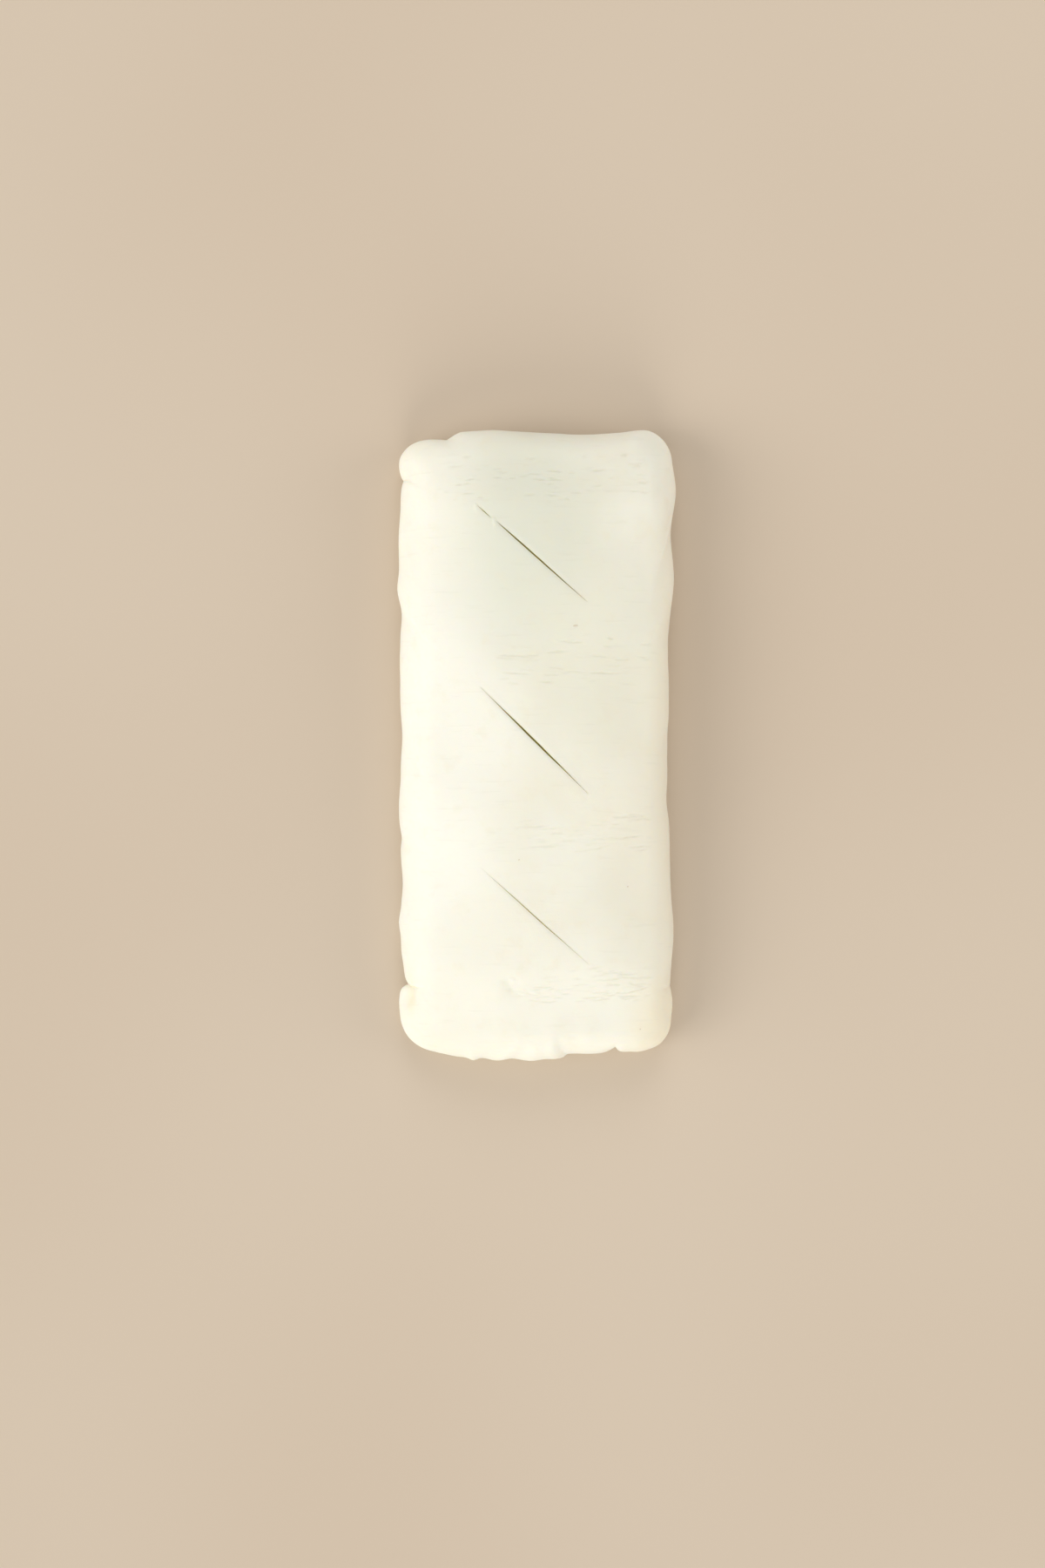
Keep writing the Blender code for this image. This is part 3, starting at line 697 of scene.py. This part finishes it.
def hairlineTree():
    # Presses a fine groove with low lips into the surface wherever a guide line comes near it.
    tree, start, end = newGeometryTree("hairlineRelief", {
        "Guides": "Object", "Depth": "Float", "Half Width": "Float", "Lip": "Float", "Finish": "Material"})
    guides = addNode(tree, "GeometryNodeObjectInfo")
    feed(guides.inputs["Object"], start.outputs["Guides"])
    near = addNode(tree, "GeometryNodeProximity", target_element="EDGES")
    feed(near.inputs[0], guides.outputs["Geometry"])
    scaled = mathNode(tree, "DIVIDE", near.outputs["Distance"], start.outputs["Half Width"])
    groove = bellNode(tree, scaled, 1.0)
    fromLip = mathNode(tree, "SUBTRACT", scaled, hairlines["lipPlace"])
    lip = bellNode(tree, fromLip, hairlines["lipNarrowness"])
    inward = mathNode(tree, "MULTIPLY", groove, start.outputs["Depth"])
    outward = mathNode(tree, "MULTIPLY", lip, start.outputs["Lip"])
    push = addNode(tree, "ShaderNodeVectorMath", operation="SCALE")
    feed(push.inputs[0], addNode(tree, "GeometryNodeInputNormal").outputs[0])
    feed(push.inputs["Scale"], mathNode(tree, "SUBTRACT", outward, inward))
    moved = addNode(tree, "GeometryNodeSetPosition")
    feedAll(moved, {"Geometry": start.outputs["Geometry"], "Offset": push.outputs[0]})
    # The groove's shape is kept for the finish, which paints shade into the groove.
    marked = addNode(tree, "GeometryNodeStoreNamedAttribute", data_type="FLOAT", domain="POINT")
    feedAll(marked, {"Geometry": moved.outputs[0], "Name": "hairline", "Value": groove})
    finishTree(tree, start, end, marked.outputs[0])
    return tree


def bakeModifiers(obj):
    # The evaluated object as a plain mesh under its own name; the modifiers go.
    graph = bpy.context.evaluated_depsgraph_get()
    graph.update()
    mesh = bpy.data.meshes.new_from_object(obj.evaluated_get(graph), depsgraph=graph)
    old = obj.data
    obj.modifiers.clear()
    obj.data = mesh
    bpy.data.meshes.remove(old)
    mesh.name = obj.name


def runTree(obj, tree, inputs):
    # Runs a node tree on the object, with its inputs given by name.
    modifier = obj.modifiers.new(tree.name, "NODES")
    modifier.node_group = tree
    for item in tree.interface.items_tree:
        if item.in_out == "INPUT" and item.name in inputs:
            modifier[item.identifier] = inputs[item.name]
    bakeModifiers(obj)


def sweptCutter(name, sections):
    # A closed bar through cross sections that all have the same number of corners.
    shape = bmesh.new()
    loops = [[shape.verts.new(corner) for corner in section] for section in sections]
    for first, second in zip(loops, loops[1:]):
        for index in range(len(first)):
            after = (index + 1) % len(first)
            shape.faces.new((first[index], first[after], second[after], second[index]))
    shape.faces.new(loops[0][::-1])
    shape.faces.new(loops[-1])
    bmesh.ops.recalc_face_normals(shape, faces=shape.faces)
    mesh = bpy.data.meshes.new(name)
    shape.to_mesh(mesh)
    shape.free()
    return newObject(name, mesh)


def crossSection(middle, across, profile):
    # Corners given by how far they lie to the left of a line and by their height.
    return [(*(middle + across * offset), height) for offset, height in profile]


def slitCutter(index, cut):
    # A thin blade whose line wanders by a hair, widest and deepest where the cut is fullest.
    start, run, _, across = lineFrame(cut)
    sections = []
    for step in range(slits["steps"] + 1):
        share = step / slits["steps"]
        fullness = float(slitFullness(cut, share))
        wave = noise.noise(Vector((share * slits["wobblePitch"], index * slits["wobbleGap"], 0.0)))
        middle = start + run * share + across * (slits["wobble"] * wave * math.sin(math.pi * share))
        surface = float(topHeight(*middle))
        above, bottom = surface + slits["clearance"], surface - cut["depth"] * fullness
        half = cut["width"] / 2 * fullness
        keel = half * slits["keelShare"]
        profile = ((-keel, bottom), (keel, bottom), (half, surface), (half, above), (-half, above),
                   (-half, surface))
        sections.append(crossSection(middle, across, profile))
    return sweptCutter(f"slitCutter{index}", sections)


# Seams under the parcel: the edges of the two tucked ends, and the long join between them.
seams = {
    "halfWidth": 0.0009,
    "depth": 0.001,
    "steps": 32,
    "frontEdge": {"start": (-0.056, -0.0899), "end": (0.056, -0.0909), "bow": -0.0025},
    "backEdge": {"start": (-0.056, 0.1005), "end": (0.056, 0.087), "bow": 0.002},
    "joinShare": 0.62,
    "joinBow": 0.003,
}


def seamPoint(seam, share):
    start, run, _, across = lineFrame(seam)
    return start + run * share + across * seam["bow"] * math.sin(2 * math.pi * share), across


def seamCutter(name, seam):
    # A bar whose ridge stands above the ground and whose foot lies below it.
    half, depth, steps = seams["halfWidth"], seams["depth"], seams["steps"]
    profile = ((-2 * half, -depth), (0.0, depth), (2 * half, -depth))
    places = [seamPoint(seam, step / steps) for step in range(steps + 1)]
    return sweptCutter(name, [crossSection(middle, across, profile) for middle, across in places])


def underCutters():
    join = {
        "start": seamPoint(seams["frontEdge"], seams["joinShare"])[0],
        "end": seamPoint(seams["backEdge"], seams["joinShare"])[0],
        "bow": seams["joinBow"],
    }
    named = (("frontEdge", seams["frontEdge"]), ("backEdge", seams["backEdge"]), ("longJoin", join))
    return [seamCutter(name, seam) for name, seam in named]


def addBoolean(obj, other, operation):
    modifier = obj.modifiers.new(other.name, "BOOLEAN")
    modifier.operation = operation
    modifier.object = other


def cutDough(obj):
    # The seam cutters become one body first, so that the fine surface is cut only once.
    edgeCutter, *otherSeams = underCutters()
    for other in otherSeams:
        addBoolean(edgeCutter, other, "UNION")
    bakeModifiers(edgeCutter)
    blades = [slitCutter(index, cut) for index, cut in enumerate(slits["cuts"])]
    shape = bmesh.new()
    for cutter in [edgeCutter, *blades]:
        shape.from_mesh(cutter.data)
    shape.to_mesh(edgeCutter.data)
    shape.free()
    addBoolean(obj, edgeCutter, "DIFFERENCE")
    bakeModifiers(obj)
    for cutter in [edgeCutter, *otherSeams, *blades]:
        bpy.data.objects.remove(cutter)


def markCuts(mesh):
    # How deep each point lies inside a slit and how close it is to one, for the painted shade in and beside
    # the slits.
    x, y, z = vertexArray(mesh).T
    inSlit, edge = np.zeros(len(x), bool), np.zeros(len(x))
    for cut in slits["cuts"]:
        share, _, distance = alongSlit(x, y, cut)
        inSlit |= distance < cut["width"] * slits["markWidth"] + slits["wobble"]
        edge = np.maximum(edge, np.minimum(slitSize(cut, share), 1) * bell(distance, slits["edgeShadeReach"]))
    onTop = z > slits["markAbove"] * parcel["height"]
    depth = topHeight(x, y) + slitRelief(x, y) - z
    depth = np.where(inSlit & onTop & (depth > slits["leastDepth"]), depth, 0.0)
    addAttribute(mesh, "cutDepth", depth)
    addAttribute(mesh, "cutEdge", edge * onTop)


# The finish of raw puff pastry. Colours are linear; places and sizes are in metres. A pattern is the
# scale, detail and roughness of its noise, and a range is (low, high) or (low, high, to low, to high).
dough = {
    "cream": (0.825, 0.795, 0.672, 1.0),
    "paleCream": (0.85, 0.83, 0.72, 1.0),
    "butter": (0.8, 0.735, 0.56, 1.0),
    "cutShadow": (0.7, 0.665, 0.3, 1.0),
    # painted shade beside the cuts, darker and yellower than the dough
    "cutEdge": (0.79, 0.755, 0.53, 1.0),
    # the grey of the dough's own streaks, also painted as shade into the hairline grooves
    "streakGreyAndCreaseShade": (0.612, 0.59, 0.462, 1.0),
    "tints": (  # (centre, radii, colour, strength), each fading out towards its radii
        # painted light: the left side made paler, where the light falls most
        ((-0.036, -0.005, 0.02), (0.044, 0.14, 0.06), (0.885, 0.868, 0.775, 1.0), 0.8),
        ((-0.003, 0.078, 0.028), (0.04, 0.062, 0.06), (0.728, 0.73, 0.615, 1.0), 0.8),
        ((0.02, 0.034, 0.028), (0.04, 0.056, 0.06), (0.775, 0.755, 0.62, 1.0), 0.5),
        ((0.05, -0.103, 0.01), (0.022, 0.027, 0.05), (0.84, 0.765, 0.59, 1.0), 0.8),
        # painted reflection: warm light thrown back from the floor onto the right side
        ((0.054, 0.0, 0.01), (0.018, 0.15, 0.05), (0.85, 0.78, 0.62, 1.0), 0.6),
        # painted light: the front end made paler, where the light from the front falls
        ((-0.004, -0.094, 0.02), (0.044, 0.04, 0.05), (0.875, 0.85, 0.745, 1.0), 0.6),
        ((0.038, -0.04, 0.018), (0.026, 0.066, 0.05), (0.785, 0.722, 0.575, 1.0), 0.38),
        # painted shade: the warm yellowish cast of the shade in the left front tuck crease
        ((-0.0468, -0.0945, 0.014), (0.0026, 0.01, 0.02), (0.88, 0.822, 0.6, 1.0), 0.55),
    ),
    "tintRange": (0.0, 0.75),
    "patches": (28.0, 3.0, 0.5),
    "patchRange": (0.38, 0.64),
    "mottle": (140.0, 4.0, 0.6),
    "butterRange": (0.52, 0.74, 0.0, 0.22),
    "streaks": (1.0, 3.0, 0.55),
    "streakScale": (70.0, 620.0, 90.0),
    "streakRange": (0.58, 0.74, 0.0, 0.1),
    "grain": (1300.0, 5.0, 0.6),
    "gloss": (64.4, 4.0, 0.6),
    "glossRange": (0.3, 0.7, 0.46, 0.62),
    "hairlineShadeShare": 0.56,
    "cutEdgeShadeShare": 0.65,
    "shadowRange": (0.0002, 0.0016, 0.0, 0.95),  # from the depth inside a cut to the share of cutShadow
    "bumpShares": (0.35, 0.5, 0.6),  # of the grain, the streaks and the mottle
    "bumpStrength": 0.35,
    "bumpDistance": 0.00025,
    "specular": 0.32,
    "subsurface": 0.55,
    "subsurfaceRadius": (1.0, 0.8, 0.52),
    "subsurfaceScale": 0.006,
}


def noiseTexture(tree, vector, pattern):
    node = addNode(tree, "ShaderNodeTexNoise")
    feedAll(node, {"Vector": vector, **dict(zip(("Scale", "Detail", "Roughness"), pattern))})
    return node.outputs["Fac"]


def stretch(tree, value, low, high, toLow=0.0, toHigh=1.0):
    node = addNode(tree, "ShaderNodeMapRange", interpolation_type="SMOOTHSTEP")
    feedAll(node, {"Value": value, "From Min": low, "From Max": high, "To Min": toLow, "To Max": toHigh})
    return node.outputs["Result"]


def mixColors(tree, share, first, second):
    node = addNode(tree, "ShaderNodeMix", data_type="RGBA")
    for socket, value in zip((node.inputs["Factor"], node.inputs[6], node.inputs[7]), (share, first, second)):
        feed(socket, value)
    return node.outputs[2]


def tinted(tree, color, mask, strength, tint):
    return mixColors(tree, mathNode(tree, "MULTIPLY", mask, strength), color, tint)


def attributeValue(tree, name):
    return addNode(tree, "ShaderNodeAttribute", attribute_name=name).outputs["Fac"]


def newMaterial(name):
    # A material with its node tree, its shader and the place on the object.
    material = bpy.data.materials.new(name)
    material.use_nodes = True
    tree = material.node_tree
    place = addNode(tree, "ShaderNodeTexCoord").outputs["Object"]
    return material, tree, tree.nodes["Principled BSDF"], place


def ballMask(tree, vector, centre, radii):
    # 1 at the centre, falling to 0 at the radii.
    placed = addNode(tree, "ShaderNodeMapping", vector_type="TEXTURE")
    feedAll(placed, {"Vector": vector, "Location": centre, "Scale": radii})
    ball = addNode(tree, "ShaderNodeTexGradient", gradient_type="SPHERICAL")
    feed(ball.inputs["Vector"], placed.outputs[0])
    return ball.outputs["Fac"]


def doughMaterial():
    material, tree, shader, place = newMaterial("rawPuffPastry")
    patches = stretch(tree, noiseTexture(tree, place, dough["patches"]), *dough["patchRange"])
    color = mixColors(tree, patches, dough["cream"], dough["paleCream"])
    for centre, radii, tint, strength in dough["tints"]:
        soft = stretch(tree, ballMask(tree, place, centre, radii), *dough["tintRange"])
        color = tinted(tree, color, soft, strength, tint)
    mottle = noiseTexture(tree, place, dough["mottle"])
    color = mixColors(tree, stretch(tree, mottle, *dough["butterRange"]), color, dough["butter"])

    drawnOut = addNode(tree, "ShaderNodeMapping")
    feedAll(drawnOut, {"Vector": place, "Scale": dough["streakScale"]})
    streaks = noiseTexture(tree, drawnOut.outputs[0], dough["streaks"])
    color = mixColors(tree, stretch(tree, streaks, *dough["streakRange"]), color, dough["streakGreyAndCreaseShade"])

    hairline, nearCutShade, depth = (attributeValue(tree, name) for name in ("hairline", "cutEdge", "cutDepth"))
    # Painted shade: the hairline grooves are darkened with the grey.
    color = tinted(tree, color, hairline, dough["hairlineShadeShare"], dough["streakGreyAndCreaseShade"])
    # Painted shade: a darker yellowish cast on the dough beside each cut.
    color = tinted(tree, color, nearCutShade, dough["cutEdgeShadeShare"], dough["cutEdge"])
    color = mixColors(tree, stretch(tree, depth, *dough["shadowRange"]), color, dough["cutShadow"])

    height = 0.0
    grain = noiseTexture(tree, place, dough["grain"])
    for pattern, share in zip((grain, streaks, mottle), dough["bumpShares"]):
        height = mathNode(tree, "MULTIPLY_ADD", pattern, share, height)
    bump = addNode(tree, "ShaderNodeBump")
    feedAll(bump, {"Strength": dough["bumpStrength"], "Distance": dough["bumpDistance"], "Height": height})
    gloss = noiseTexture(tree, place, dough["gloss"])
    feedAll(shader, {
        "Base Color": color,
        "Roughness": stretch(tree, gloss, *dough["glossRange"]),
        "Normal": bump.outputs["Normal"],
        "Specular IOR Level": dough["specular"],
        "Subsurface Weight": dough["subsurface"],
        "Subsurface Radius": dough["subsurfaceRadius"],
        "Subsurface Scale": dough["subsurfaceScale"],
    })
    return material


def makeParcel(material):
    mesh = parcelShell()
    print("parcel surface:", len(mesh.vertices), "points")
    refineNearSlits(mesh)
    roughen(mesh)
    obj = newObject("pastryParcel", mesh)
    guides = hairlineGuides()
    runTree(obj, hairlineTree(), {
        "Guides": guides, "Depth": hairlines["depth"], "Half Width": hairlines["halfWidth"],
        "Lip": hairlines["lip"], "Finish": material})
    bpy.data.objects.remove(guides)
    print("hairline wrinkles pressed in")
    cutDough(obj)
    mesh = obj.data
    markCuts(mesh)
    mesh.materials.clear()
    mesh.materials.append(material)
    mesh.shade_smooth()
    mesh.set_sharp_from_angle(angle=math.radians(slits["sharpAngle"]))
    mesh.calc_loop_triangles()
    print("slits and seams cut:", len(mesh.loop_triangles), "triangles")
    return obj


# Specks in the dough's skin: (x, y, length, width, turn in degrees, darkness).
specks = {
    "places": (
        (0.0142, 0.0431, 0.0018, 0.0006, 6, 0.75),
        (0.0385, -0.1058, 0.0006, 0.0005, 0, 0.4),
        (-0.0065, -0.0426, 0.0006, 0.0004, 30, 0.35),
        (0.0335, -0.0526, 0.0006, 0.0005, 0, 0.35),
    ),
    "thickness": 0.00016,
    "subdivisions": 3,
    "dropFrom": 0.1,  # each speck is dropped onto the dough from this height
    "color": (0.6, 0.51, 0.4, 1.0),
    "paleColor": (0.74, 0.67, 0.52, 1.0),
    "blotches": (1600.0, 3.0, 0.5),
    "blotchRange": (0.4, 0.6, 0.6, 1.0),
    "roughness": 0.6,
}


def speckMaterial():
    material, tree, shader, place = newMaterial("spiceSpeck")
    blotches = stretch(tree, noiseTexture(tree, place, specks["blotches"]), *specks["blotchRange"])
    color = tinted(tree, specks["paleColor"], attributeValue(tree, "darkness"), blotches, specks["color"])
    feedAll(shader, {"Base Color": color, "Roughness": specks["roughness"]})
    return material


def speckTree():
    # A small flat grain at every point, turned and scaled by the point's own values.
    tree, start, end = newGeometryTree("scatteredSpecks", {"Finish": "Material"})
    grain = addNode(tree, "GeometryNodeMeshIcoSphere")
    feedAll(grain, {"Radius": 0.5, "Subdivisions": specks["subdivisions"]})
    laid = addNode(tree, "GeometryNodeInstanceOnPoints")
    feedAll(laid, {"Points": start.outputs["Geometry"], "Instance": grain.outputs["Mesh"]})
    for socket, name in (("Rotation", "turn"), ("Scale", "size")):
        stored = addNode(tree, "GeometryNodeInputNamedAttribute", data_type="FLOAT_VECTOR")
        feed(stored.inputs["Name"], name)
        feed(laid.inputs[socket], stored.outputs["Attribute"])
    finishTree(tree, start, end, laid.outputs["Instances"])
    return tree


def makeSpecks(parcelObject, material):
    points, sizes, turns, darkness = [], [], [], []
    for x, y, length, width, turn, dark in specks["places"]:
        _, place, normal, _ = parcelObject.ray_cast(Vector((x, y, specks["dropFrom"])), Vector((0, 0, -1)))
        lying = Vector((0, 0, 1)).rotation_difference(normal) @ Quaternion((0, 0, 1), math.radians(turn))
        points.append(place)
        sizes.append((length, width, specks["thickness"]))
        turns.append(lying.to_euler())
        darkness.append(dark)
    mesh = bpy.data.meshes.new("spiceSpecks")
    mesh.from_pydata(points, [], [])
    addAttribute(mesh, "size", sizes)
    addAttribute(mesh, "turn", turns)
    addAttribute(mesh, "darkness", darkness)
    obj = newObject("spiceSpecks", mesh)
    runTree(obj, speckTree(), {"Finish": material})
    obj.data.shade_smooth()
    print("specks laid on:", len(specks["places"]))
    return obj


# The floor, the light and the camera.
studio = {
    "floorSize": 40.0,
    "floorColor": (0.6, 0.492, 0.378, 1.0),
    "floorPatch": (0.625, 0.522, 0.408, 1.0),
    "clouds": (3.5, 1.0, 0.5),  # the floor's pattern of patches
    "cloudRange": (0.3, 0.7),
    "floorRoughness": 0.85,
    "floorSpecular": 0.15,
    "sky": (1.0, 1.0, 1.0, 1.0),
    "skyStrength": 0.455,
    "backdrop": (0.715, 0.608, 0.485, 1.0),  # what shows above the far edge of the floor
    "lightSpread": 34.0,  # how wide each light looks from the parcel, in degrees
    "lights": (  # (name, azimuth, elevation, strength, colour); angles in degrees, azimuth 0 is +X
        ("windowLight", 200, 33, 1.08, (1.0, 0.995, 0.98)),
        ("windowLow", 180, 22, 0.68, (1.0, 0.995, 0.98)),
        ("frontLight", 270, 22, 1.22, (1.0, 0.99, 0.96)),
        ("rightFill", 0, 20, 0.78, (1.0, 0.98, 0.95)),
        ("backFill", 85, 32, 0.8, (1.0, 1.0, 1.0)),
    ),
    "frameHeight": 0.5904,  # what the 1800 pixels of the photo span at the parcel's widest level
    "cameraHeight": 0.72,
    "cameraOver": (-0.0052, -0.0148),
    "sensor": 36.0,
    "clipStart": 0.01,
}


def makeFloor():
    half = studio["floorSize"] / 2
    mesh = bpy.data.meshes.new("paleFloor")
    corners = [(-half, -half, 0), (half, -half, 0), (half, half, 0), (-half, half, 0)]
    mesh.from_pydata(corners, [], [(0, 1, 2, 3)])
    material, tree, shader, place = newMaterial("paleFloor")
    shade = stretch(tree, noiseTexture(tree, place, studio["clouds"]), *studio["cloudRange"])
    color = mixColors(tree, shade, studio["floorColor"], studio["floorPatch"])
    feedAll(shader, {"Base Color": color, "Roughness": studio["floorRoughness"],
                     "Specular IOR Level": studio["floorSpecular"]})
    mesh.materials.append(material)
    floor = newObject("paleFloor", mesh)


def makeSky():
    # White light all round, and a backdrop in the floor's colour where the camera sees past the floor.
    world = bpy.data.worlds.new("softSky")
    world.use_nodes = True
    tree = world.node_tree
    sky = tree.nodes["Background"]
    feedAll(sky, {"Color": studio["sky"], "Strength": studio["skyStrength"]})
    backdrop = addNode(tree, "ShaderNodeBackground")
    feed(backdrop.inputs["Color"], studio["backdrop"])
    either = addNode(tree, "ShaderNodeMixShader")
    seen = addNode(tree, "ShaderNodeLightPath").outputs["Is Camera Ray"]
    for socket, value in zip(either.inputs, (seen, sky.outputs[0], backdrop.outputs[0])):
        feed(socket, value)
    feed(tree.nodes["World Output"].inputs["Surface"], either.outputs[0])
    bpy.context.scene.world = world


def makeLights():
    for name, azimuth, elevation, strength, color in studio["lights"]:
        data = bpy.data.lights.new(name, "SUN")
        data.angle = math.radians(studio["lightSpread"])
        data.energy = strength
        data.color = color
        around, up = math.radians(azimuth), math.radians(elevation)
        toLight = Vector((math.cos(around) * math.cos(up), math.sin(around) * math.cos(up), math.sin(up)))
        lamp = newObject(name, data)
        lamp.location = toLight
        lamp.rotation_euler = (-toLight).to_track_quat("-Z", "Y").to_euler()


def makeCamera():
    data = bpy.data.cameras.new("overheadCamera")
    data.sensor_width = studio["sensor"]
    toWidest = studio["cameraHeight"] - parcel["widestHeight"]
    data.lens = studio["sensor"] * toWidest / studio["frameHeight"]
    data.clip_start = studio["clipStart"]
    camera = newObject("overheadCamera", data)
    camera.location = (*studio["cameraOver"], studio["cameraHeight"])
    bpy.context.scene.camera = camera
    bpy.context.scene.view_settings.view_transform = "Standard"


def main():
    pastry = makeParcel(doughMaterial())
    specksObject = makeSpecks(pastry, speckMaterial())
    for piece in (pastry, specksObject):
        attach(piece, "root")
    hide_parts("pastry_parcel")
    makeFloor()
    makeSky()
    makeLights()
    makeCamera()


main()
